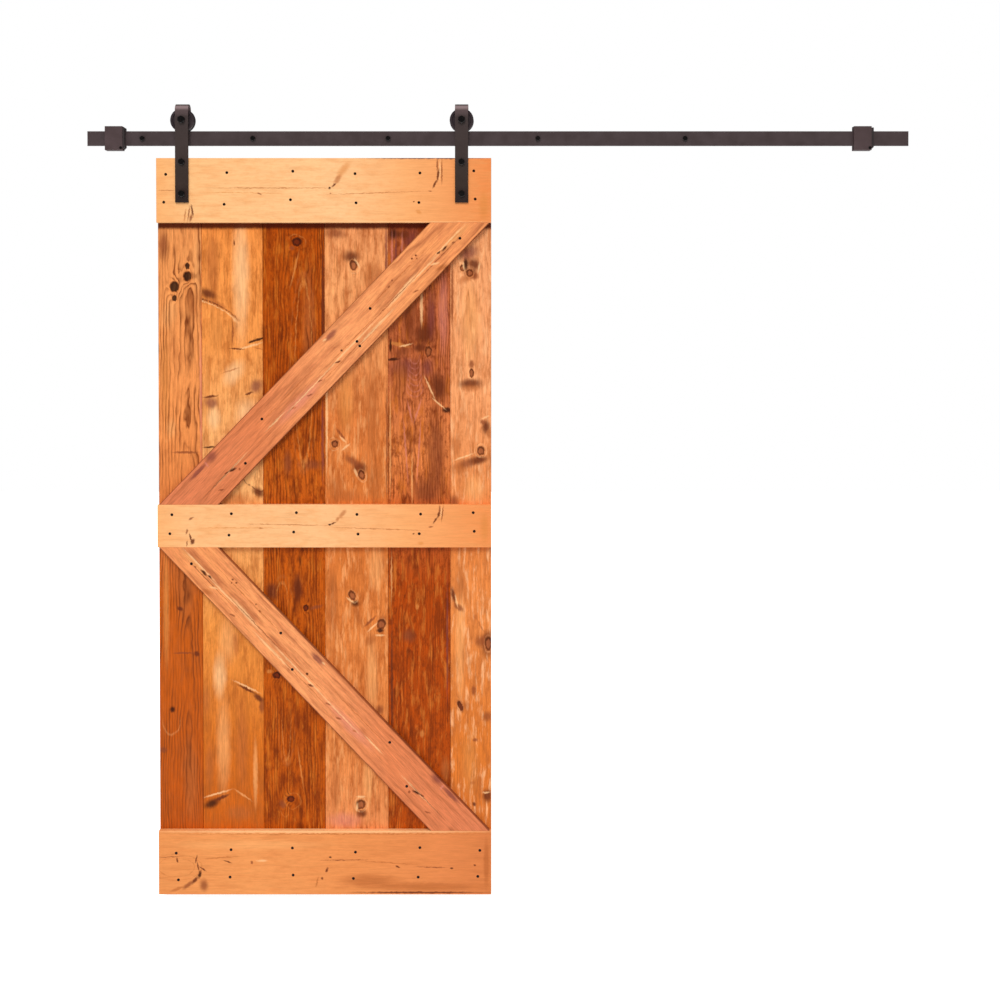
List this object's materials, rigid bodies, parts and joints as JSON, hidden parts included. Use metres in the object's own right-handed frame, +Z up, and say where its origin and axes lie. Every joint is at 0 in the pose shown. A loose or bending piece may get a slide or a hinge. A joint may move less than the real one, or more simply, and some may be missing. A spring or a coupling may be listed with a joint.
{
  "type": "sliding barn door",
  "caption": "Ledged and braced plank door hung by bent strap hangers and grooved wheels from a flat wall-mounted track with end stops.",
  "frame": {"origin": "axis of the middle wall screw, at the wall's face and level with the middle of the track bar", "axes": "+X along the track to the right as the door is seen from the room, +Y into the wall, +Z up"},
  "size_m": [2.37, 0.1165, 2.29],
  "materials": {
    "track_steel": "matt dark bronze powder coat",
    "stop_steel": "matt dark bronze powder coat",
    "hanger_steel": "matt dark bronze powder coat",
    "wheel_steel": "matt dark bronze powder coat, polished a little where it rolls",
    "bolt_steel": "black oxide, slightly shiny",
    "screw_steel": "black phosphate",
    "sleeve_steel": "bright zinc",
    "bearing_steel": "ground and polished",
    "cage_brass": "pressed brass",
    "pad_rubber": "matt",
    "plank_pine": "stained knotty pine under satin varnish",
    "rail_pine": "stained knotty pine under satin varnish",
    "brace_pine": "stained knotty pine under satin varnish"
  },
  "bodies": {
    "track": {"track_rail": "track_steel", "spacer_1": "track_steel", "spacer_2": "track_steel", "spacer_3": "track_steel", "spacer_4": "track_steel", "spacer_5": "track_steel", "lag_screws": "bolt_steel", "end_stop_left": "stop_steel", "end_stop_right": "stop_steel", "stop_pad_left": "pad_rubber", "stop_pad_right": "pad_rubber", "stop_screws": "bolt_steel"},
    "door": {"plank_1": "plank_pine", "plank_2": "plank_pine", "plank_3": "plank_pine", "plank_4": "plank_pine", "plank_5": "plank_pine", "plank_6": "plank_pine", "top_rail": "rail_pine", "middle_rail": "rail_pine", "bottom_rail": "rail_pine", "brace_upper": "brace_pine", "brace_lower": "brace_pine", "rail_wood_screws": "screw_steel", "brace_wood_screws": "screw_steel", "hanger_left": "hanger_steel", "hanger_right": "hanger_steel", "strap_bolts": "bolt_steel", "strap_washers": "bolt_steel", "strap_nuts": "bolt_steel", "axle_bolt_left": "bolt_steel", "axle_bolt_right": "bolt_steel", "axle_washers": "bolt_steel", "axle_nuts": "bolt_steel", "axle_sleeves": "sleeve_steel", "bearing_inner_left": "bearing_steel", "bearing_inner_right": "bearing_steel"},
    "roller_left": {"wheel_left": "wheel_steel", "retaining_ring_left": "sleeve_steel", "bearing_outer_left": "bearing_steel"},
    "roller_right": {"wheel_right": "wheel_steel", "retaining_ring_right": "sleeve_steel", "bearing_outer_right": "bearing_steel"},
    "ball_set_left": {"bearing_balls_left": "bearing_steel", "bearing_cage_left": "cage_brass"},
    "ball_set_right": {"bearing_balls_right": "bearing_steel", "bearing_cage_right": "cage_brass"}
  },
  "joints": [
    {"name": "door_slide", "type": "slide", "parent": "track", "child": "door", "axis": [1, 0, 0], "range_m": [-0.138, 1.0995]},
    {"name": "wheel_left_spin", "type": "hinge", "parent": "door", "child": "roller_left", "pos_m": [-0.5925, -0.041, 0.0518], "axis": [0, 1, 0], "continuous": true},
    {"name": "wheel_right_spin", "type": "hinge", "parent": "door", "child": "roller_right", "pos_m": [0.2125, -0.041, 0.0518], "axis": [0, 1, 0], "continuous": true},
    {"name": "balls_left_orbit", "type": "hinge", "parent": "door", "child": "ball_set_left", "pos_m": [-0.5925, -0.041, 0.0518], "axis": [0, 1, 0], "continuous": true},
    {"name": "balls_right_orbit", "type": "hinge", "parent": "door", "child": "ball_set_right", "pos_m": [0.2125, -0.041, 0.0518], "axis": [0, 1, 0], "continuous": true}
  ],
  "couplings": [
    {"joint": "wheel_left_spin", "follows": "door_slide", "rad_per_m": 32.787},
    {"joint": "wheel_right_spin", "follows": "door_slide", "rad_per_m": 32.787},
    {"joint": "balls_left_orbit", "follows": "door_slide", "rad_per_m": 20.715},
    {"joint": "balls_right_orbit", "follows": "door_slide", "rad_per_m": 20.715}
  ]
}
